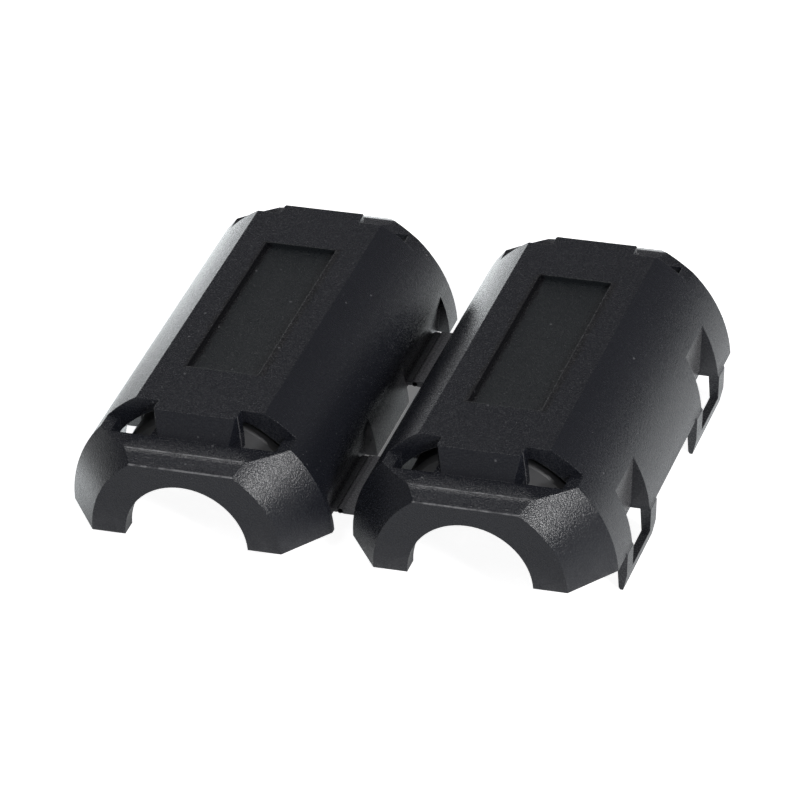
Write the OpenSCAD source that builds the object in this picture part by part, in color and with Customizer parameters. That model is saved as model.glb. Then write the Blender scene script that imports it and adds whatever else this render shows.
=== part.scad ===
// Clip-on split ferrite core, opened flat with its outer faces up.
// The cable runs along Y. The parting plane is z = 0, and each half lies above it.
// The origin is on the cable axis of the hook half, in the middle of its length.

/* [Case] */
// Outer diameter of the closed case
case_d = 19.5; // [17:0.1:24]
// Overall length along the cable
case_len = 35.66; // [32:0.1:46]
// Length of the straight barrel between the two end cones
barrel_len = 28.8; // [26:0.1:32]
// Outer diameter of the flat face at each end
face_d = 14.2; // [12:0.1:15]
// Diameter of the cable hole in the end walls
cable_d = 9.2; // [7:0.1:9.6]
// Wall between the barrel's outside and the core cavity
wall = 1.45; // [1.2:0.05:1.8]
// Depth of the flat that is cut along the crown of the barrel
crown_cut = 1.28; // [0.9:0.02:1.6]
// Wall of the flat crown above the cavity
crown_wall = 0.97; // [0.8:0.01:1.2]
// Gap between each case rim and the parting plane
rim_gap = 0.05; // [0.02:0.01:0.15]

/* [Ends] */
// Distance from the crown down to the shoulder ledges
ledge_drop = 1.82; // [1.2:0.02:2.2]
// Distance from the end face back to the end of the crown
crown_setback = 4.83; // [4:0.05:6]
// Distance from the end face back to the foot of the tongue's front wall
foot_setback = 2.94; // [2.2:0.02:3.4]
// Width of the level top of each end ledge, from the foot towards the face
ledge_run = 1.71; // [1.2:0.01:2]
// Drop of the slanted band in front of the ledge
band_drop = 0.63; // [0.4:0.01:1.2]
// Width of the spring tongue over each end of the core
tongue_w = 6.4; // [5:0.1:7.2]
// How far the tongue's level top reaches past the crown
tongue_reach = 1.18; // [0.8:0.02:1.6]
// Width of the slot on each side of the tongue
slot_w = 3; // [2:0.05:3.2]
// Wall of the collar around the cable hole
collar_wall = 1.1; // [0.8:0.1:1.6]
// Thickness of the end face's wall
face_wall = 1.4; // [1:0.1:1.8]

/* [Label panel] */
// Width of the recessed panel on the crown
panel_w = 5.4; // [4:0.1:7]
// Length of the recessed panel
panel_len = 17.24; // [12:0.1:20]
// Shift of the panel's centre along the cable
panel_shift = 0.28; // [-1:0.02:1]
// Depth of the panel
panel_depth = 0.4; // [0.2:0.05:0.45]

/* [Ferrite] */
// Outer diameter of the closed ferrite core
core_d = 14.8; // [13:0.1:14.8]
// Bore of the ferrite core
core_bore = 9.6; // [9.2:0.1:10.4]
// Length of the ferrite core
core_len = 24.8; // [22:0.1:25.8]
// Edge break along the core's outer mating edges
core_edge = 0.5; // [0.3:0.05:0.8]
// Gap between each ground core face and the parting plane
core_gap = 0.02; // [0.01:0.01:0.1]
// Play between the core's round side and its seats
core_play = 0.1; // [0.05:0.01:0.2]
// Play at each end of the core
end_play = 0.15; // [0.05:0.05:0.3]
// Width of each saddle rib under the core
rib_w = 1.2; // [0.8:0.1:2]
// Distance between the two saddle ribs
rib_pitch = 7; // [5:0.1:8]

/* [Latch] */
// Distance between the centres of the two latch loops
latch_pitch = 17.65; // [16:0.05:19]
// Width of a latch loop along the cable
loop_w = 7.25; // [6:0.05:8]
// Width of each leg of a loop
loop_leg = 1.45; // [1:0.05:1.8]
// How far a loop hangs below the parting plane
loop_drop = 2.95; // [2.4:0.05:3.4]
// Height of the bar across the bottom of a loop
loop_bar = 1.15; // [0.8:0.05:1.4]
// Thickness of a loop
loop_t = 0.8; // [0.6:0.05:1]
// Depth of the pocket above each loop at the parting plane
release_depth = 1.45; // [1.2:0.05:1.6]
// Height of the pocket above each loop
release_h = 4.36; // [3.6:0.02:5]
// Distance from the barrel's side in to the inner face of each loop
loop_inset = 0.7; // [0.6:0.05:0.9]
// Height at which the legs of a loop join the barrel
loop_root = 0.6; // [0.5:0.05:0.8]
// Clearance between a loop's inner face, toe or bar and the other half
latch_play = 0.2; // [0.15:0.01:0.3]
// Clearance at each end of a loop in its seat
seat_play = 0.6; // [0.2:0.05:0.8]
// Width of each hook along the cable
hook_w = 1.9; // [1.4:0.1:3.4]
// How far a hook reaches through its loop
hook_reach = 0.5; // [0.3:0.05:0.6]
// Height of a hook from its catch down to the foot of its straight tip
hook_tip = 0.45; // [0.3:0.05:0.6]

/* [Hinge] */
// Distance between the two bend lines of the hinge
bend_gap = 1.53; // [1.2:0.01:2]
// Distance between the centres of the two straps
strap_pitch = 16.9; // [15.5:0.05:18]
// Shift of both straps along the cable
strap_shift = -0.75; // [-1:0.05:1]
// Width of a strap along the cable
strap_w = 6.9; // [5:0.05:8]
// Thickness of a strap at its bend lines
bend_t = 0.3; // [0.2:0.02:0.34]
// Thickness of a strap between its bend lines
strap_t = 0.45; // [0.35:0.01:0.55]
// Width of the pocket around each strap
hinge_pocket_w = 9.6; // [8.6:0.05:10]
// Height of the pocket around each strap
hinge_pocket_h = 3.15; // [2.6:0.05:3.6]
// Depth of the pocket at the parting plane
hinge_pocket_depth = 0.95; // [0.8:0.05:1.05]
// Distance from each bend line back to the end of its fixed leaf
bend_clear = 0.22; // [0.2:0.01:0.3]

/* [Hidden] */

// A margin that lets cuts run past the faces that they open
past = 1;
// How far parts of one moulding run into each other, so that they fuse
fuse = 0.1;
round_fn = 96;
case_r = case_d / 2;
face_r = face_d / 2;
cable_r = cable_d / 2;
cavity_r = case_r - wall;
crown_z = case_r - crown_cut;
cavity_top = crown_z - crown_wall;
ledge_z = crown_z - ledge_drop;
half_len = case_len / 2;
crown_end = half_len - crown_setback;
foot_y = half_len - foot_setback;
ledge_end = foot_y + ledge_run;
core_r = core_d / 2;
core_end = core_len / 2;
cavity_end = core_end + end_play;
collar_r = cable_r + collar_wall;
// Slope of the end cones
cone_run = half_len - barrel_len / 2;
cone_drop = case_r - face_r;
// Inner face of the latch loops
loop_x = case_r - loop_inset;
// Width of a loop's window, and of the pocket above it
window_w = loop_w - 2 * loop_leg;
// The second half stands across the hinge, its cable axis one case and one bend gap away
half_pitch = case_d + bend_gap;
bend_z = bend_gap / 2;
colour_case = [0.15, 0.15, 0.17];
colour_core = [0.30, 0.30, 0.31];

// Extrudes an outline drawn in x and z along the cable, over the given stretch
module along_cable(y_low, y_high) {
    translate([0, y_high, 0])
        rotate([90, 0, 0])
            linear_extrude(height = y_high - y_low)
                children();
}

// Extrudes an outline drawn in y and z across the case
module across_case(width) {
    translate([-width / 2, 0, 0])
        rotate([90, 0, 90])
            linear_extrude(height = width)
                children();
}

// Revolves an outline of radius and distance about the cable axis
module about_cable() {
    rotate([90, 0, 0])
        rotate_extrude($fn = round_fn)
            children();
}

// Repeats at both ends of a half, the outline's +y end first
module at_both_ends() {
    for (flip = [0, 1])
        mirror([0, flip, 0])
            children();
}

// Everything within the case's reach between two heights
module slab(z_low, z_high) {
    translate([-case_d, -case_len, z_low])
        cube([2 * case_d, 2 * case_len, z_high - z_low]);
}

// The whole turned form: barrel, end cones and end faces
module turned_form() {
    about_cable()
        polygon([
            [0, -half_len],
            [face_r, -half_len],
            [case_r, -barrel_len / 2],
            [case_r, barrel_len / 2],
            [face_r, half_len],
            [0, half_len]
        ]);
}

// What is cut away above the shoulder ledge and the slanted band at one end
module ledge_cut() {
    across_case(2 * case_d)
        polygon([
            [crown_end, ledge_z],
            [ledge_end, ledge_z],
            [half_len, ledge_z - band_drop],
            [half_len + past, ledge_z - band_drop],
            [half_len + past, case_r + past],
            [crown_end, case_r + past]
        ]);
}

// Spring tongue over the end of the core, with its slanted front wall
module tongue() {
    front_edge = crown_end + tongue_reach;
    side_draft = 0.12;
    root = crown_end - past;
    intersection() {
        across_case(tongue_w)
            polygon([
                [root, cavity_top],
                [root, crown_z],
                [front_edge, crown_z],
                [foot_y, ledge_z],
                [foot_y, ledge_z - past],
                [root, ledge_z - past]
            ]);
        along_cable(root, foot_y)
            polygon([
                [-tongue_w / 2, ledge_z - past],
                [tongue_w / 2, ledge_z - past],
                [tongue_w / 2, ledge_z],
                [tongue_w / 2 - side_draft, crown_z],
                [side_draft - tongue_w / 2, crown_z],
                [-tongue_w / 2, ledge_z]
            ]);
        tongue_corners(front_edge);
    }
}

// Bevels the two front corners of the tongue
module tongue_corners(front_edge) {
    bevel = 0.55;
    edge_x = tongue_w / 2;
    root = crown_end - 2 * past;
    translate([0, 0, ledge_z - 2 * past])
        linear_extrude(height = case_r)
            polygon([
                [-edge_x, root],
                [edge_x, root],
                [edge_x, foot_y - 2 * bevel],
                [edge_x - bevel, foot_y],
                [bevel - edge_x, foot_y],
                [-edge_x, foot_y - 2 * bevel]
            ]);
}

// The two slots that free the tongue, cut through to the cavity
module tongue_slots() {
    slot_floor = ledge_z - crown_wall - fuse;
    for (side = [-1, 1])
        translate([side > 0 ? tongue_w / 2 : -tongue_w / 2 - slot_w, crown_end, slot_floor])
            cube([slot_w, foot_y - crown_end, case_r]);
}

// Recess of the bare label panel
module label_panel() {
    translate([-panel_w / 2, panel_shift - panel_len / 2, crown_z - panel_depth])
        cube([panel_w, panel_len, crown_cut + panel_depth]);
}

// Cavity for the core, with saddle ribs, and the relief inside each end wall
module core_cavity() {
    difference() {
        intersection() {
            along_cable(-cavity_end, cavity_end)
                circle(r = cavity_r, $fn = round_fn);
            slab(-past, cavity_top);
        }
        for (side = [-1, 1])
            saddle_rib(side * rib_pitch / 2);
    }
    at_both_ends() {
        core_end_room();
        end_relief();
    }
    along_cable(-half_len - past, half_len + past)
        circle(r = cable_r, $fn = round_fn);
}

// Room round the collar, between the end of the core and the slots beside the tongue
module core_end_room() {
    intersection() {
        along_cable(cavity_end - past / 2, crown_end + fuse)
            difference() {
                circle(r = cavity_r, $fn = round_fn);
                circle(r = collar_r, $fn = round_fn);
            }
        slab(-past, cavity_top);
    }
}

// A half ring that carries the core, with a bead at each foot that keeps the core in
module saddle_rib(rib_y) {
    seat_r = core_r + core_play;
    bead = core_edge - 2 * core_play;
    bead_x = core_r - bead;
    along_cable(rib_y - rib_w / 2, rib_y + rib_w / 2)
        difference() {
            circle(r = cavity_r + past, $fn = round_fn);
            difference() {
                circle(r = seat_r, $fn = round_fn);
                for (side = [0, 1])
                    mirror([side, 0])
                        polygon([
                            [bead_x, -past],
                            [bead_x, core_gap + core_play],
                            [seat_r + past, core_gap + core_play + bead + past],
                            [seat_r + past, -past]
                        ]);
            }
        }
}

// Hollow behind the end face, between the collar and the cone
module end_relief() {
    relief_end = half_len - face_wall;
    relief_r = case_r - wall - (relief_end - barrel_len / 2) * cone_drop / cone_run;
    intersection() {
        about_cable()
            polygon([
                [collar_r, -relief_end],
                [relief_r, -relief_end],
                [cavity_r, -barrel_len / 2],
                [cavity_r, past - cavity_end],
                [collar_r, past - cavity_end]
            ]);
        slab(-past, ledge_z - crown_wall);
        translate([-case_d, cavity_end - past / 2, -past])
            cube([2 * case_d, case_len, case_d]);
    }
}

// One half of the case without its latch and hinge features
module plain_half() {
    difference() {
        union() {
            difference() {
                intersection() {
                    turned_form();
                    slab(rim_gap, crown_z);
                }
                at_both_ends()
                    ledge_cut();
            }
            at_both_ends()
                tongue();
        }
        at_both_ends()
            tongue_slots();
        core_cavity();
        label_panel();
    }
}

// Outline of a side pocket: a slanted floor up to the height where it meets the barrel
module pocket_outline(depth, height) {
    polygon([
        [case_r - depth, -past],
        [case_r - depth, 0],
        [sqrt(case_r * case_r - height * height), height],
        [case_r + past, height],
        [case_r + past, -past]
    ]);
}

// Extrudes an outline over a width, centred on a place along the cable
module along_width(middle, width) {
    along_cable(middle - width / 2, middle + width / 2)
        children();
}

// Repeats at both straps, over the given width
module at_straps(width) {
    for (side = [-1, 1])
        along_width(strap_shift + side * strap_pitch / 2, width)
            children();
}

// Repeats at both latch loops, over the given width
module at_loops(width) {
    for (side = [-1, 1])
        along_width(side * latch_pitch / 2, width)
            children();
}

// Pockets around the straps, on the +x side
module hinge_pockets() {
    at_straps(hinge_pocket_w)
        pocket_outline(hinge_pocket_depth, hinge_pocket_h);
}

// The fixed leaf of each strap: it rises from the pocket floor to just short of the bend line
module hinge_leaves() {
    ease = 0.25;
    crest = 0.4;
    floor_x = case_r - hinge_pocket_depth;
    root_x = floor_x - fuse;
    leaf_end = case_r - bend_clear;
    top = bend_z + bend_t / 2;
    bottom = bend_z - bend_t / 2;
    at_straps(strap_w)
        polygon([
            [root_x, rim_gap],
            [root_x + ease, rim_gap],
            [leaf_end - ease, bottom],
            [leaf_end, bottom],
            [leaf_end, top],
            [leaf_end - crest, top],
            [floor_x, top - ease],
            [root_x, top - ease]
        ]);
}

// The moving middle of a strap, with a round edge on each bend line
module strap_link(side) {
    taper = 0.3;
    along_width(strap_shift + side * strap_pitch / 2, strap_w)
        translate([case_r, bend_z]) {
            circle(d = bend_t, $fn = 24);
            translate([bend_gap, 0])
                circle(d = bend_t, $fn = 24);
            polygon([
                [0, -bend_t / 2],
                [taper, -strap_t / 2],
                [bend_gap - taper, -strap_t / 2],
                [bend_gap, -bend_t / 2],
                [bend_gap, bend_t / 2],
                [bend_gap - taper, strap_t / 2],
                [taper, strap_t / 2],
                [0, bend_t / 2]
            ]);
        }
}

// Loops that hang below the rim, on the +x side
module latch_loops() {
    difference() {
        at_loops(loop_w)
            loop_outline();
        at_loops(window_w)
            loop_window();
    }
}

// Side view of a loop: flat inside, bowed outside, eased at the toe
module loop_outline() {
    outer_x = loop_x + loop_t;
    root_in = 0.3;
    knee_in = 0.15;
    shin_in = 0.26;
    toe_w = 0.22;
    toe_ease = 0.1;
    knee_z = -0.58 * loop_drop;
    shin_z = -0.73 * loop_drop;
    polygon([
        [loop_x, loop_root],
        [loop_x, 2 * toe_ease - loop_drop],
        [loop_x + toe_ease, -loop_drop],
        [loop_x + toe_ease + toe_w, -loop_drop],
        [outer_x - shin_in, shin_z],
        [outer_x - knee_in, knee_z],
        [outer_x, rim_gap],
        [outer_x - root_in, loop_root]
    ]);
}

// The window that a hook snaps into, open at its top to the pocket above
module loop_window() {
    translate([loop_x - past, loop_bar - loop_drop])
        square([loop_t + 2 * past, loop_drop - loop_bar + loop_root + past]);
}

// Pockets above the loops, as wide as their windows
module release_pockets() {
    at_loops(window_w)
        pocket_outline(release_depth, release_h);
}

// Inner wall behind the release pockets, kept thick enough where they are deepest
module release_backing() {
    back_wall = 0.6;
    intersection() {
        at_loops(window_w + 2 * back_wall)
            difference() {
                circle(r = cavity_r + past / 2, $fn = round_fn);
                translate([-case_d, -case_d])
                    square([case_d + case_r - release_depth - back_wall, 2 * case_d]);
            }
        slab(rim_gap, release_h + back_wall);
    }
}

// Seats that the loops drop into when the case closes, on the -x side.
// The wall behind each seat is open too, apart from the strip that carries the hook.
module loop_seats() {
    seat_w = loop_w + 2 * seat_play;
    seat_x = loop_x - latch_play;
    seat_h = loop_drop + latch_play;
    difference() {
        at_loops(seat_w)
            translate([-case_r - past, -past])
                square([case_r - cavity_r + 2 * past, seat_h + past]);
        at_loops(hook_w)
            translate([-seat_x, -2 * past])
                square([case_r, seat_h + 4 * past]);
    }
}

// Wedge hooks in the loop seats: a ramp towards the parting plane and a flat catch above it
module hooks() {
    seat_x = loop_x - latch_play;
    tip_x = loop_x + hook_reach;
    catch_z = loop_drop - loop_bar - latch_play;
    at_loops(hook_w)
        mirror([1, 0])
            polygon([
                [seat_x - fuse, rim_gap + latch_play],
                [seat_x, rim_gap + latch_play],
                [tip_x, catch_z - hook_tip],
                [tip_x, catch_z],
                [seat_x - fuse, catch_z]
            ]);
}

// Half of the ferrite core, with a ground mating face
module core_half() {
    end_edge = 0.35;
    difference() {
        intersection() {
            about_cable()
                polygon([
                    [core_bore / 2 + end_edge, -core_end],
                    [core_r - end_edge, -core_end],
                    [core_r, end_edge - core_end],
                    [core_r, core_end - end_edge],
                    [core_r - end_edge, core_end],
                    [core_bore / 2 + end_edge, core_end],
                    [core_bore / 2, core_end - end_edge],
                    [core_bore / 2, end_edge - core_end]
                ]);
            slab(core_gap, case_r);
        }
        for (side = [0, 1])
            mirror([side, 0, 0])
                along_cable(-case_len, case_len)
                    polygon([
                        [core_r - core_edge, -past],
                        [core_r - core_edge, core_gap],
                        [core_r, core_gap + core_edge],
                        [core_r + past, core_gap + core_edge],
                        [core_r + past, -past]
                    ]);
    }
}

// Places a half on the other side of the hinge, with its hinge side turned to -x
module across_hinge() {
    translate([half_pitch, 0, 0])
        children();
}

// Case half with the hooks; its hinge side is +x
module hook_housing() {
    color(colour_case)
        union() {
            difference() {
                plain_half();
                hinge_pockets();
                loop_seats();
            }
            hinge_leaves();
            hooks();
        }
}

// Case half with the latch loops; its hinge side is -x
module latch_housing() {
    color(colour_case)
        across_hinge()
            union() {
                difference() {
                    union() {
                        plain_half();
                        release_backing();
                    }
                    mirror([1, 0, 0])
                        hinge_pockets();
                    release_pockets();
                }
                mirror([1, 0, 0])
                    hinge_leaves();
                latch_loops();
            }
}

// Ferrite half in the hook housing
module hook_side_ferrite() {
    color(colour_core)
        core_half();
}

// Ferrite half in the latch housing
module latch_side_ferrite() {
    color(colour_core)
        across_hinge()
            core_half();
}

// Strap of the living hinge nearer the -y end
module front_hinge_strap() {
    color(colour_case)
        strap_link(-1);
}

// Strap of the living hinge nearer the +y end
module rear_hinge_strap() {
    color(colour_case)
        strap_link(1);
}

hook_housing();
latch_housing();
hook_side_ferrite();
latch_side_ferrite();
front_hinge_strap();
rear_hinge_strap();
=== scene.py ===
"""Clip-on split ferrite core, opened flat: finishes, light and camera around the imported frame."""

import math

import bmesh
import bpy
from mathutils import Matrix, Vector

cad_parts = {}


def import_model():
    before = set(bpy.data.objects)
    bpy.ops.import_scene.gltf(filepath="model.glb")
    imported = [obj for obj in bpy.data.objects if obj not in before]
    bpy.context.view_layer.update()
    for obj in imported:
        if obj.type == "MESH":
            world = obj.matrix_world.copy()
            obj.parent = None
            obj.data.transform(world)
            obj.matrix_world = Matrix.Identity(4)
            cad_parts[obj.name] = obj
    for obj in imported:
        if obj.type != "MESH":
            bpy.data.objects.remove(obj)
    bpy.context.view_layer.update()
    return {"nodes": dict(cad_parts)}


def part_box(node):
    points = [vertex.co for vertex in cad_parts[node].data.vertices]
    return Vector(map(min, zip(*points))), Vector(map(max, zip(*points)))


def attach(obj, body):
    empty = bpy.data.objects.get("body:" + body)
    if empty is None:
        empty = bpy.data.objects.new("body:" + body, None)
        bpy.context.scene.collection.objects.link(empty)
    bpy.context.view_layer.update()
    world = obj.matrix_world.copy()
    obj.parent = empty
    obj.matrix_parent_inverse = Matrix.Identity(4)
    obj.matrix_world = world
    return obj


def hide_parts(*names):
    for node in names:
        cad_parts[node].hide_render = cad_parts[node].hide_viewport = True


MM = 0.001
WHITE = (1.0, 1.0, 1.0)

# The camera: where it stands round the part, in degrees and metres, and how far it zooms in.
CAMERA_AZIMUTH = 20.646
CAMERA_ELEVATION = 32.777
CAMERA_ROLL = -4.328
CAMERA_DISTANCE = 439.4 * MM
CAMERA_TARGET = Vector((8.981 * MM, 3.079 * MM, 0.0))
CAMERA_CLIP_START = 0.01
CAMERA_CLIP_END = 10.0
FOCAL_PIXELS = 6034.7
IMAGE_WIDTH = 800
SENSOR_WIDTH = 36.0

# The table: it leans, because the opened part rests on its far left rim and on its latch loops.
TABLE_SIZE = 4.0
TABLE_GAP = 0.02 * MM
LOOP_MIDDLE_FROM_RIGHT = 0.5 * MM
TABLE_COLOUR = (0.92, 0.92, 0.92)
TABLE_GLOW = 0.92

# The table under the slit between the halves, from the table's middle: shaded where something covers it.
SLIT_GLOW = 0.15
SLIT_X = (-4 * MM, 4 * MM)
SLIT_Y = (-7 * MM, 11 * MM)
COVER_REACH = 4 * MM
COVER_OPEN = (0.60, 0.78)

# Painted reflection: the table's glow for glossy rays, which the part mirrors: dark in front, bright
# beside and behind it, dark again far to the left.
SHEEN_TINT = (0.95, 1.0, 1.02)
SHEEN_FRONT = 0.15
SHEEN_LEFT = 1.5
SHEEN_RIGHT = 0.42
SHEEN_TURN_X = (-5 * MM, 15 * MM)
SHEEN_RISE_X = (-18 * MM, -8 * MM)
SHEEN_RISE_LEFT = 12 * MM
SHEEN_RISE_RIGHT = 26 * MM
FAR_LEFT_X = (-23 * MM, -32 * MM)
FAR_LEFT_Y = (-5 * MM, 10 * MM)
FAR_LEFT_SLANT = 0.45
FAR_LEFT_SHARE = 0.02

# Half the brightness of the surroundings, from the horizon up, behind on the left and elsewhere.
LEFT_SKY = ((0.0, 0.95), (0.08, 0.60), (0.18, 0.20), (0.35, 0.06), (0.60, 0.04))
RIGHT_SKY = ((0.0, 0.14), (0.12, 0.12), (0.28, 0.085), (0.45, 0.07), (0.60, 0.055))
SKY_STRENGTH = 2.0
SKY_TURN_X = (-0.55, -0.10)
SKY_TURN_Y = (0.28, 0.50)
SKY_BLUE = 1.03

# Softboxes: the direction from the part, the distance, the two sides and the power in watts.
SOFTBOXES = {
    "key": ((0.73, -0.49, 0.48), 0.6, (0.12, 0.12), 1.6),
    "top": ((-0.30, 0.33, 0.89), 0.7, (0.30, 0.12), 0.75),
    "front": ((-0.12, -0.52, 0.84), 0.7, (0.20, 0.20), 0.3),
}

# Places on each half that its finish and its painted light and shade follow, from the half's own cable
# axis and the parting plane.
HALF_PITCH = 21.03 * MM
CROWN_Z = 8.47 * MM
PANEL_MIDDLE_Y = 0.28 * MM
PANEL_HALF_LENGTH = 8.62 * MM
PANEL_HALF_WIDTH = 2.7 * MM
PANEL_INSIDE_X = (0.4 * MM - PANEL_HALF_WIDTH, PANEL_HALF_WIDTH - 0.2 * MM)
# Painted shade along the panel's long sides, where its recessed walls fall dark.
LEFT_SHADE_X = (-PANEL_HALF_WIDTH - 0.15 * MM, 0.3 * MM - PANEL_HALF_WIDTH)
RIGHT_SHADE_X = (PANEL_HALF_WIDTH - 0.1 * MM, PANEL_HALF_WIDTH + 0.35 * MM)
LEDGE_Z = 6.65 * MM
LEDGE_END_Y = 16.6 * MM
LEDGE_HALF_WIDTH = 4.6 * MM
FACE_Y = 17.83 * MM
FACE_TOP_Z = 6.02 * MM
TONGUE_HALF_WIDTH = 3.2 * MM
TONGUE_CORNER_Y = 13.79 * MM
# Where the painted light lies on the slanted floors above the latch loops.
LATCH_FLOOR_X = 7.4 * MM
LATCH_FLOOR_Y = (6.68 * MM, 10.97 * MM)
LATCH_FLOOR_Z = (0.5 * MM, 4.11 * MM)
# Where the painted light lies on the hinge straps and their pocket floors.
HINGE_X = 8.7 * MM
HINGE_TOP_Z = (1.6 * MM, 2.6 * MM)
FRONT_HINGE_Y = (-13.0 * MM, -4.4 * MM)
REAR_HINGE_Y = (3.9 * MM, 12.4 * MM)
# Where the painted reflection beside the hinge of the hook half lies, and how high the painted reflection
# towards the rims reaches.
REFLECTION_PATCH_X = (8.6 * MM, 9.9 * MM)
REFLECTION_PATCH_Y = (-4.2 * MM, 3.6 * MM)
RIM_TOP_Z = 3.0 * MM

# Half the width of a painted highlight line along an edge, and how softly it ends.
LINE_HALF_WIDTH = 0.03 * MM
LINE_SOFT = 0.04 * MM

# The moulded case: grain, rounding of its edges and colours, among them its painted shade, painted light,
# painted highlights and painted reflections.
GRAIN_SIZE = 0.12 * MM
GRAIN_HEIGHT = 0.030 * MM
EDGE_RADIUS = 0.07 * MM
BEVEL_SAMPLES = 8
CASE_DARK = (0.0120, 0.0132, 0.0185)
CASE_LIGHT = (0.0160, 0.0176, 0.0240)
CASE_ROUGHNESS = (0.18, 0.34)
PANEL_COLOUR = (0.0145, 0.0175, 0.0200)
PANEL_ROUGHER = 0.05
# Painted shade along the label panel's long sides.
BORDER_SHADE_COLOUR = (0.0080, 0.0080, 0.0100)
# Painted light on the hinge straps, their webs and the floors of their pockets.
HINGE_LIGHT_COLOUR = (0.15, 0.15, 0.16)
# Painted light on the slanted floors above the latch loops.
LATCH_LIGHT_COLOUR = (0.13, 0.13, 0.135)
# Painted reflection of the white table, towards the rims and beside the hinge.
RIM_REFLECTION_COLOUR = (0.27, 0.27, 0.28)
# Painted highlights along the ledge edges and the tongue corners.
EDGE_HIGHLIGHT_COLOUR = (0.26, 0.26, 0.27)
DUST_COLOUR = (0.16, 0.16, 0.17)

# The ferrite: mottling and pores.
FERRITE_DARK = (0.115, 0.115, 0.120)
FERRITE_LIGHT = (0.155, 0.155, 0.160)
FERRITE_ROUGHNESS = (0.34, 0.48)
MOTTLE_SIZE = 1.5 * MM
PORE_SIZE = 0.12 * MM
PORE_HEIGHT = 0.01 * MM

# The middle range of a noise, where nearly all its values lie.
NOISE_RANGE = (0.3, 0.7)

# Hollow behind each end wall, where the view through the cable hole passes.
HOLLOW_RADIUS = 5.75 * MM
HOLLOW_NEAR_Y = 12.45 * MM
HOLLOW_FAR_Y = 16.43 * MM
HOLLOW_SIDES = 96
WELD_DISTANCE = 0.0005 * MM
SHARP_ANGLE = math.radians(28)

# The thin web at each bend line of the hinge.
WEB_RADIUS = 0.225 * MM
WEB_SIDES = 32
BEND_IN_STRAP = 0.15 * MM


def new_material(name):
    material = bpy.data.materials.new(name)
    material.use_nodes = True
    material.node_tree.nodes.clear()
    return material, material.node_tree.nodes, material.node_tree.links


def add_coordinates(nodes, links, output="Object"):
    """The texture coordinates, whole and split into x, y and z."""
    coordinates = nodes.new("ShaderNodeTexCoord").outputs[output]
    split = nodes.new("ShaderNodeSeparateXYZ")
    links.new(coordinates, split.inputs[0])
    return coordinates, split.outputs["X"], split.outputs["Y"], split.outputs["Z"]


def add_noise(nodes, links, coordinates, size, detail, roughness):
    noise = nodes.new("ShaderNodeTexNoise")
    noise.inputs["Scale"].default_value = 1.0 / size
    noise.inputs["Detail"].default_value = detail
    noise.inputs["Roughness"].default_value = roughness
    links.new(coordinates, noise.inputs["Vector"])
    return noise.outputs["Fac"]


def add_range(nodes, links, value, low, high, out_low=0.0, out_high=1.0):
    """Carries low to out_low and high to out_high, and stays between the two."""
    remap = nodes.new("ShaderNodeMapRange")
    remap.inputs["From Min"].default_value = low
    remap.inputs["From Max"].default_value = high
    remap.inputs["To Min"].default_value = out_low
    remap.inputs["To Max"].default_value = out_high
    links.new(value, remap.inputs["Value"])
    return remap.outputs["Result"]


def add_math(nodes, links, operation, first, second=None):
    """A Math node; each input is a socket or a number."""
    node = nodes.new("ShaderNodeMath")
    node.operation = operation
    for socket, value in zip(node.inputs, (first, second)):
        if isinstance(value, (int, float)):
            socket.default_value = value
        elif value is not None:
            links.new(value, socket)
    return node.outputs[0]


def add_band(nodes, links, value, low, high, soft):
    """1 between low and high, fading to 0 over the soft width on each side."""
    rise = add_range(nodes, links, value, low - soft, low)
    fall = add_range(nodes, links, value, high, high + soft, 1.0, 0.0)
    return add_math(nodes, links, "MULTIPLY", rise, fall)


def add_product(nodes, links, *factors):
    result = factors[0]
    for factor in factors[1:]:
        result = add_math(nodes, links, "MULTIPLY", result, factor)
    return result


def add_mix(nodes, links, factor, first, second):
    """Mixes two colours, from the first at 0 to the second at 1; each is a socket or three numbers."""
    mix = nodes.new("ShaderNodeMix")
    mix.data_type = "RGBA"
    for name, colour in (("A", first), ("B", second)):
        if isinstance(colour, tuple):
            mix.inputs[name].default_value = (*colour, 1.0)
        else:
            links.new(colour, mix.inputs[name])
    links.new(factor, mix.inputs["Factor"])
    return mix.outputs["Result"]


def add_surface(nodes, links, shader, height, strength, distance):
    """Gives a shader rounded edges and a bump, and makes it the material's surface."""
    rounded = nodes.new("ShaderNodeBevel")
    rounded.samples = BEVEL_SAMPLES
    rounded.inputs["Radius"].default_value = EDGE_RADIUS
    bump = nodes.new("ShaderNodeBump")
    bump.inputs["Strength"].default_value = strength
    bump.inputs["Distance"].default_value = distance
    links.new(height, bump.inputs["Height"])
    links.new(rounded.outputs["Normal"], bump.inputs["Normal"])
    links.new(bump.outputs["Normal"], shader.inputs["Normal"])
    output = nodes.new("ShaderNodeOutputMaterial")
    links.new(shader.outputs["BSDF"], output.inputs["Surface"])


def half_coordinates(nodes, links, frame_x, y):
    """x from the nearer half's cable axis, and the distance from the middle along the cable."""
    on_latch_half = add_math(nodes, links, "GREATER_THAN", frame_x, HALF_PITCH / 2)
    shift = add_math(nodes, links, "MULTIPLY", on_latch_half, HALF_PITCH)
    x = add_math(nodes, links, "SUBTRACT", frame_x, shift)
    return x, add_math(nodes, links, "ABSOLUTE", y)


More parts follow.
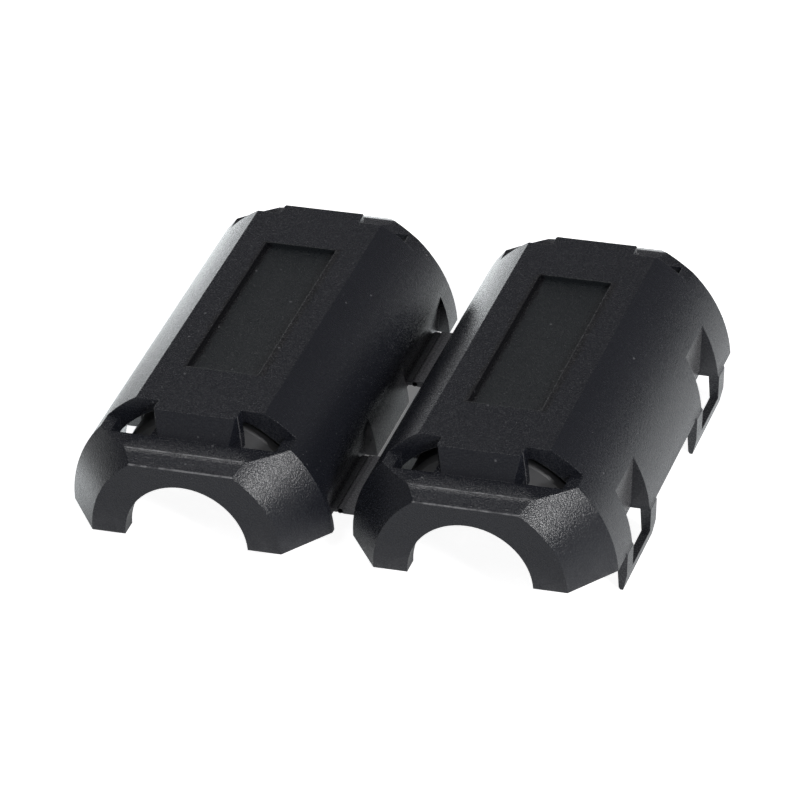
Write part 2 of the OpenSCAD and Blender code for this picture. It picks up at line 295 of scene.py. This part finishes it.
def panel_masks(nodes, links, x, y, z, fine):
    """The inside of the label panel, and painted shade along its two long sides, where the panel's
    recessed walls fall dark.
    """
    wobble = add_range(nodes, links, fine, *NOISE_RANGE, -0.15 * MM, 0.15 * MM)
    x = add_math(nodes, links, "ADD", x, wobble)
    near_y, far_y = PANEL_MIDDLE_Y - PANEL_HALF_LENGTH, PANEL_MIDDLE_Y + PANEL_HALF_LENGTH
    along = add_band(nodes, links, y, near_y, far_y, 0.25 * MM)
    on_crown = add_range(nodes, links, z, CROWN_Z - 0.6 * MM, CROWN_Z - 0.5 * MM)
    on_panel = add_product(nodes, links, along, on_crown)
    inside, left, right = (
        add_band(nodes, links, x, *extent, 0.2 * MM)
        for extent in (PANEL_INSIDE_X, LEFT_SHADE_X, RIGHT_SHADE_X)
    )
    # Painted shade along both long sides of the panel.
    border_shade = add_math(nodes, links, "MAXIMUM", left, right)
    return add_product(nodes, links, on_panel, inside), add_product(nodes, links, on_panel, border_shade)


def edge_painted_highlights(nodes, links, x, from_middle, z, fine):
    """Painted highlights: lighter lines on the ledge's two edges and on the tongue's upright corners,
    where rounded edges catch the light.
    """
    across = add_math(nodes, links, "ABSOLUTE", x)
    on_ledge = add_range(nodes, links, across, LEDGE_HALF_WIDTH - 0.3 * MM, LEDGE_HALF_WIDTH, 1.0, 0.0)
    ledge_line = add_product(
        nodes, links, on_ledge,
        add_band(
            nodes, links, from_middle,
            LEDGE_END_Y - LINE_HALF_WIDTH, LEDGE_END_Y + LINE_HALF_WIDTH, LINE_SOFT,
        ),
        add_range(nodes, links, z, LEDGE_Z - 0.1 * MM, LEDGE_Z - 0.05 * MM),
    )
    face_line = add_product(
        nodes, links, on_ledge,
        add_range(nodes, links, from_middle, FACE_Y - 0.1 * MM, FACE_Y - 0.05 * MM),
        add_band(nodes, links, z, FACE_TOP_Z - LINE_HALF_WIDTH, FACE_TOP_Z + 0.05 * MM, LINE_SOFT),
    )
    corner_line = add_product(
        nodes, links,
        add_band(nodes, links, across, TONGUE_HALF_WIDTH - 0.14 * MM, TONGUE_HALF_WIDTH, 0.03 * MM),
        add_band(
            nodes, links, from_middle,
            TONGUE_CORNER_Y - 0.04 * MM, TONGUE_CORNER_Y + 0.06 * MM, LINE_SOFT,
        ),
        0.5,
    )
    breaks = add_range(nodes, links, fine, 0.40, 0.55, 0.25, 1.0)
    lines = add_product(nodes, links, add_math(nodes, links, "MAXIMUM", ledge_line, face_line), breaks)
    return add_math(nodes, links, "MAXIMUM", lines, corner_line)


def rim_painted_reflection(nodes, links, frame_x, y, z, fine):
    """Painted reflection: faint lightening towards the rims, where they mirror the white table, and a
    stronger, streaky painted reflection beside the hinge of the hook half.
    """
    low = add_range(nodes, links, z, 0.0, RIM_TOP_Z, 1.0, 0.0)
    faint = add_product(nodes, links, low, low, add_range(nodes, links, fine, *NOISE_RANGE, 0.06, 0.18))
    patch = add_product(
        nodes, links, low,
        add_band(nodes, links, frame_x, *REFLECTION_PATCH_X, 0.5 * MM),
        add_band(nodes, links, y, *REFLECTION_PATCH_Y, 0.6 * MM),
        add_range(nodes, links, fine, 0.35, 0.65, 2.2, 4.4),
    )
    return add_math(nodes, links, "MAXIMUM", faint, patch)


def hinge_painted_light(nodes, links, frame_x, y, z):
    """Painted light: lightens the straps, their webs and the floors of their pockets, which lie in shade
    between the halves.
    """
    across = add_band(nodes, links, frame_x, HINGE_X, HALF_PITCH - HINGE_X, 0.4 * MM)
    low = add_range(nodes, links, z, *HINGE_TOP_Z, 1.0, 0.0)
    front = add_band(nodes, links, y, *FRONT_HINGE_Y, 0.3 * MM)
    rear = add_band(nodes, links, y, *REAR_HINGE_Y, 0.3 * MM)
    return add_product(nodes, links, across, low, add_math(nodes, links, "MAXIMUM", front, rear))


def latch_painted_light(nodes, links, frame_x, from_middle, z):
    """Painted light on the slanted floors above the latch loops, lighter as if they caught the light."""
    floor_x = HALF_PITCH + LATCH_FLOOR_X
    return add_product(
        nodes, links,
        add_range(nodes, links, frame_x, floor_x, floor_x + 0.2 * MM),
        add_band(nodes, links, from_middle, *LATCH_FLOOR_Y, 0.04 * MM),
        add_band(nodes, links, z, *LATCH_FLOOR_Z, 0.2 * MM),
    )


def add_specks(nodes, links, coordinates, cell, size, share):
    """Sparse round dust specks: one in each cell of the given share, of the given radius."""
    cells = nodes.new("ShaderNodeTexVoronoi")
    cells.inputs["Scale"].default_value = 1.0 / cell
    links.new(coordinates, cells.inputs["Vector"])
    near = add_range(nodes, links, cells.outputs["Distance"], 0.6 * size / cell, size / cell, 1.0, 0.0)
    pick = nodes.new("ShaderNodeSeparateColor")
    links.new(cells.outputs["Color"], pick.inputs[0])
    chosen = add_math(nodes, links, "LESS_THAN", pick.outputs[0], share)
    return add_product(nodes, links, near, chosen)


def dust_mask(nodes, links, coordinates):
    coarse = add_specks(nodes, links, coordinates, 1.3 * MM, 0.11 * MM, 0.35)
    small = add_specks(nodes, links, coordinates, 0.7 * MM, 0.05 * MM, 0.3)
    return add_math(nodes, links, "MAXIMUM", coarse, small)


def case_plastic():
    """Black moulded plastic: spark-eroded grain and a little dust, with painted shade along the panel
    borders, which stay smoother than the panel's inside, painted highlights on edges, painted reflections
    near the rims and painted light on the hinge and latch floors.
    """
    material, nodes, links = new_material("case_plastic")
    coordinates, frame_x, y, z = add_coordinates(nodes, links)
    x, from_middle = half_coordinates(nodes, links, frame_x, y)
    cloud = add_noise(nodes, links, coordinates, 6 * MM, 3.0, 0.6)
    fine = add_noise(nodes, links, coordinates, 0.9 * MM, 3.0, 0.6)
    grain = add_noise(nodes, links, coordinates, GRAIN_SIZE, 2.0, 0.6)

    inside, border_shade = panel_masks(nodes, links, x, y, z, fine)
    colour = add_mix(nodes, links, cloud, CASE_DARK, CASE_LIGHT)
    layers = (
        (inside, PANEL_COLOUR),
        # painted shade along the panel's long sides
        (border_shade, BORDER_SHADE_COLOUR),
        # painted light on the hinge straps and pocket floors
        (hinge_painted_light(nodes, links, frame_x, y, z), HINGE_LIGHT_COLOUR),
        # painted light on the latch floors
        (latch_painted_light(nodes, links, frame_x, from_middle, z), LATCH_LIGHT_COLOUR),
        # painted reflection towards the rims and beside the hinge
        (rim_painted_reflection(nodes, links, frame_x, y, z, fine), RIM_REFLECTION_COLOUR),
        # painted highlights along the ledge edges and tongue corners
        (edge_painted_highlights(nodes, links, x, from_middle, z, fine), EDGE_HIGHLIGHT_COLOUR),
        (dust_mask(nodes, links, coordinates), DUST_COLOUR),
    )
    for mask, layer_colour in layers:
        colour = add_mix(nodes, links, mask, colour, layer_colour)

    shader = nodes.new("ShaderNodeBsdfPrincipled")
    shader.inputs["Specular IOR Level"].default_value = 0.5
    shader.inputs["IOR"].default_value = 1.5
    links.new(colour, shader.inputs["Base Color"])
    roughness = add_range(nodes, links, grain, *NOISE_RANGE, *CASE_ROUGHNESS)
    rougher = add_math(nodes, links, "MULTIPLY", inside, PANEL_ROUGHER)
    links.new(add_math(nodes, links, "ADD", roughness, rougher), shader.inputs["Roughness"])
    add_surface(nodes, links, shader, grain, 1.0, GRAIN_HEIGHT)
    return material


def ferrite():
    """Sintered ferrite: smooth dark grey with faint mottling and tiny pores."""
    material, nodes, links = new_material("ferrite")
    coordinates = nodes.new("ShaderNodeTexCoord").outputs["Object"]
    mottle = add_noise(nodes, links, coordinates, MOTTLE_SIZE, 4.0, 0.6)
    pores = add_noise(nodes, links, coordinates, PORE_SIZE, 2.0, 0.5)
    shader = nodes.new("ShaderNodeBsdfPrincipled")
    shader.inputs["Specular IOR Level"].default_value = 0.6
    links.new(add_mix(nodes, links, mottle, FERRITE_DARK, FERRITE_LIGHT), shader.inputs["Base Color"])
    roughness = add_range(nodes, links, mottle, *NOISE_RANGE, *FERRITE_ROUGHNESS)
    links.new(roughness, shader.inputs["Roughness"])
    add_surface(nodes, links, shader, pores, 0.2, PORE_HEIGHT)
    return material


def slit_shade(nodes, links, x, y):
    """1 on the table under the slit between the halves, wherever something stands over it."""
    cover = nodes.new("ShaderNodeAmbientOcclusion")
    cover.samples = 8
    cover.inputs["Distance"].default_value = COVER_REACH
    return add_product(
        nodes, links,
        add_band(nodes, links, x, *SLIT_X, 1 * MM),
        add_band(nodes, links, y, *SLIT_Y, 2 * MM),
        add_range(nodes, links, cover.outputs["AO"], *COVER_OPEN, 1.0, 0.0),
    )


def table_painted_reflection(nodes, links, x, y):
    """Painted reflection: how brightly the table glows for glossy rays at each place, which the part
    mirrors.
    """
    aside = add_math(nodes, links, "ABSOLUTE", x)
    outwards = add_math(nodes, links, "ADD", y, aside)
    rise = add_range(nodes, links, x, *SHEEN_RISE_X, SHEEN_RISE_LEFT, SHEEN_RISE_RIGHT)
    spread = add_range(nodes, links, add_math(nodes, links, "DIVIDE", outwards, rise), 0.0, 1.0)
    strongest = add_range(nodes, links, x, *SHEEN_TURN_X, SHEEN_LEFT, SHEEN_RIGHT)
    slanted = add_math(nodes, links, "MULTIPLY", aside, FAR_LEFT_SLANT)
    far_left = add_product(
        nodes, links,
        add_range(nodes, links, x, *FAR_LEFT_X),
        add_range(nodes, links, add_math(nodes, links, "SUBTRACT", y, slanted), *FAR_LEFT_Y, 1.0, 0.0),
    )
    share = add_range(nodes, links, far_left, 0.0, 1.0, 1.0, FAR_LEFT_SHARE)
    return add_math(nodes, links, "ADD", add_product(nodes, links, spread, strongest, share), SHEEN_FRONT)


def table_white():
    """A white table: it glows white to the camera, with the part's soft shadow, and glows for glossy rays
    as a painted reflection.
    """
    material, nodes, links = new_material("table_white")
    _, x, y, _ = add_coordinates(nodes, links)
    path = nodes.new("ShaderNodeLightPath")
    glow_level = add_range(nodes, links, slit_shade(nodes, links, x, y), 0.0, 1.0, TABLE_GLOW, SLIT_GLOW)
    seen = add_math(nodes, links, "MULTIPLY", path.outputs["Is Camera Ray"], glow_level)
    # Painted reflection: glow that only glossy rays see.
    sheen = table_painted_reflection(nodes, links, x, y)
    mirrored = add_math(nodes, links, "MULTIPLY", path.outputs["Is Glossy Ray"], sheen)
    glow = nodes.new("ShaderNodeEmission")
    tint = add_mix(nodes, links, path.outputs["Is Camera Ray"], SHEEN_TINT, WHITE)
    links.new(tint, glow.inputs["Color"])
    links.new(add_math(nodes, links, "ADD", seen, mirrored), glow.inputs["Strength"])
    diffuse = nodes.new("ShaderNodeBsdfDiffuse")
    diffuse.inputs["Color"].default_value = (*TABLE_COLOUR, 1.0)
    both = nodes.new("ShaderNodeAddShader")
    links.new(diffuse.outputs[0], both.inputs[0])
    links.new(glow.outputs[0], both.inputs[1])
    output = nodes.new("ShaderNodeOutputMaterial")
    links.new(both.outputs[0], output.inputs["Surface"])
    return material


def give_material(nodes_by_name, names, material):
    for name in names:
        mesh = nodes_by_name[name].data
        mesh.materials.clear()
        mesh.materials.append(material)


def add_object(name, data):
    shape = bpy.data.objects.new(name, data)
    bpy.context.scene.collection.objects.link(shape)
    return shape


def rod_mesh(name, radius, sides, x, z, near_y, far_y):
    """A round rod along the cable's direction."""
    middle = Matrix.Translation((x, (near_y + far_y) / 2, z))
    mesh = bmesh.new()
    bmesh.ops.create_cone(
        mesh, cap_ends=True, cap_tris=False, segments=sides, radius1=radius, radius2=radius,
        depth=far_y - near_y, matrix=middle @ Matrix.Rotation(math.pi / 2, 4, "X"),
    )
    data = bpy.data.meshes.new(name)
    mesh.to_mesh(data)
    mesh.free()
    return data


def add_hollow_cutters(axis_x):
    """Plugs as wide as the collars round the cable holes, one behind each end wall."""
    extents = ((-HOLLOW_FAR_Y, -HOLLOW_NEAR_Y), (HOLLOW_NEAR_Y, HOLLOW_FAR_Y))
    return [
        add_object(
            "hollow_cutter",
            rod_mesh("hollow_cutter", HOLLOW_RADIUS, HOLLOW_SIDES, axis_x, 0.0, near_y, far_y),
        )
        for near_y, far_y in extents
    ]


def bare_copy(name, source):
    """A copy of a mesh's points and faces only, without stored normals, welded along its seams."""
    data = bpy.data.meshes.new(name)
    corners = [tuple(vertex.co) for vertex in source.vertices]
    data.from_pydata(corners, [], [tuple(face.vertices) for face in source.polygons])
    mesh = bmesh.new()
    mesh.from_mesh(data)
    bmesh.ops.remove_doubles(mesh, verts=mesh.verts, dist=WELD_DISTANCE)
    mesh.to_mesh(data)
    mesh.free()
    return data


def add_open_shell(name, node, body, source, axis_x, material):
    """The housing with its ends open behind the end walls, as the view through the cable holes shows."""
    shell = add_object(name, bare_copy(name, source.data))
    cutters = add_hollow_cutters(axis_x)
    for cutter in cutters:
        cut = shell.modifiers.new("cut", "BOOLEAN")
        cut.operation = "DIFFERENCE"
        cut.solver = "EXACT"
        cut.object = cutter
    bpy.context.view_layer.update()
    evaluated = shell.evaluated_get(bpy.context.evaluated_depsgraph_get())
    opened = bare_copy(name, evaluated.to_mesh())
    evaluated.to_mesh_clear()
    shell.modifiers.clear()
    shell.data = opened
    for cutter in cutters:
        bpy.data.objects.remove(cutter)
    opened.shade_smooth()
    opened.set_sharp_from_angle(angle=SHARP_ANGLE)
    opened.materials.append(material)
    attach(shell, body)
    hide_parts(node)


def add_web(name, strap, bend_x, material):
    """A round bead along a bend line. It turns in place, so it closes the hinge's gap in every pose."""
    low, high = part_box(strap)
    data = rod_mesh(name, WEB_RADIUS, WEB_SIDES, bend_x, (low.z + high.z) / 2, low.y, high.y)
    web = add_object(name, data)
    data.materials.append(material)
    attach(web, "hinge_straps")


def add_webs(material):
    for end in ("front", "rear"):
        strap = end + "_hinge_strap"
        low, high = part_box(strap)
        add_web(end + "_web_hook_side", strap, low.x + BEND_IN_STRAP, material)
        add_web(end + "_web_latch_side", strap, high.x - BEND_IN_STRAP, material)


def table_contacts():
    """Where the table touches the part: the far left rim and the bottoms of the loops."""
    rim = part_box("hook_housing")[0]
    loops_low, loops_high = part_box("latch_housing")
    left = Vector((rim.x, 0.0, rim.z))
    right = Vector((loops_high.x - LOOP_MIDDLE_FROM_RIGHT, 0.0, loops_low.z))
    return left, right


def add_table(material):
    left, right = table_contacts()
    lean = math.atan2(left.z - right.z, right.x - left.x)
    bpy.ops.mesh.primitive_plane_add(size=TABLE_SIZE)
    table = bpy.context.object
    table.name = "table"
    middle = (left + right) / 2
    table.location = middle - Vector((0.0, 0.0, TABLE_GAP))
    table.rotation_euler = (0.0, lean, 0.0)
    table.data.materials.append(material)


def camera_axes():
    azimuth = math.radians(CAMERA_AZIMUTH)
    elevation = math.radians(CAMERA_ELEVATION)
    roll = math.radians(CAMERA_ROLL)
    back = Vector((
        math.sin(azimuth) * math.cos(elevation),
        -math.cos(azimuth) * math.cos(elevation),
        math.sin(elevation),
    ))
    level_right = Vector((math.cos(azimuth), math.sin(azimuth), 0.0))
    level_up = back.cross(level_right)
    right = level_right * math.cos(roll) + level_up * math.sin(roll)
    up = level_up * math.cos(roll) - level_right * math.sin(roll)
    return right, up, back


def add_camera():
    right, up, back = camera_axes()
    data = bpy.data.cameras.new("camera")
    data.sensor_width = SENSOR_WIDTH
    data.lens = FOCAL_PIXELS * SENSOR_WIDTH / IMAGE_WIDTH
    data.clip_start = CAMERA_CLIP_START
    data.clip_end = CAMERA_CLIP_END
    camera = add_object("camera", data)
    place = CAMERA_TARGET + back * CAMERA_DISTANCE
    turn = Matrix((right, up, back)).transposed().to_4x4()
    camera.matrix_world = Matrix.Translation(place) @ turn
    bpy.context.scene.camera = camera


def add_softbox(name, direction, distance, size, power):
    data = bpy.data.lights.new(name, "AREA")
    data.shape = "RECTANGLE"
    data.size, data.size_y = size
    data.energy = power
    lamp = add_object(name, data)
    towards = Vector(direction).normalized()
    lamp.location = CAMERA_TARGET + towards * distance
    lamp.rotation_euler = towards.to_track_quat("Z", "Y").to_euler()


def add_levels(nodes, links, value, stops):
    """Grey levels along a ramp, as pairs of place and level."""
    ramp = nodes.new("ShaderNodeValToRGB")
    elements = ramp.color_ramp.elements
    for index, (place, level) in enumerate(stops):
        stop = elements[index] if index < 2 else elements.new(place)
        stop.position = place
        stop.color = (level, level, SKY_BLUE * level, 1.0)
    links.new(value, ramp.inputs["Fac"])
    return ramp.outputs["Color"]


def add_sky():
    """Bright towards the horizon behind on the left, dim elsewhere and above."""
    world = bpy.data.worlds.new("studio")
    world.use_nodes = True
    nodes, links = world.node_tree.nodes, world.node_tree.links
    background = nodes["Background"]
    background.inputs["Strength"].default_value = SKY_STRENGTH
    _, x, y, z = add_coordinates(nodes, links, "Generated")
    left = add_levels(nodes, links, z, LEFT_SKY)
    right = add_levels(nodes, links, z, RIGHT_SKY)
    elsewhere = add_math(
        nodes, links, "MAXIMUM",
        add_range(nodes, links, x, *SKY_TURN_X),
        add_range(nodes, links, y, *SKY_TURN_Y, 1.0, 0.0),
    )
    links.new(add_mix(nodes, links, elsewhere, left, right), background.inputs["Color"])
    bpy.context.scene.world = world


def main():
    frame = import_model()
    nodes_by_name = frame["nodes"]
    plastic = case_plastic()
    give_material(
        nodes_by_name,
        ("hook_housing", "latch_housing", "front_hinge_strap", "rear_hinge_strap"),
        plastic,
    )
    give_material(nodes_by_name, ("hook_side_ferrite", "latch_side_ferrite"), ferrite())
    add_open_shell("hook_shell", "hook_housing", "hook_half", nodes_by_name["hook_housing"], 0.0, plastic)
    add_open_shell(
        "latch_shell", "latch_housing", "latch_half", nodes_by_name["latch_housing"], HALF_PITCH, plastic
    )
    add_webs(plastic)
    add_table(table_white())
    add_camera()
    add_sky()
    for name, settings in SOFTBOXES.items():
        add_softbox(name, *settings)
    bpy.context.scene.view_settings.view_transform = "Standard"


main()
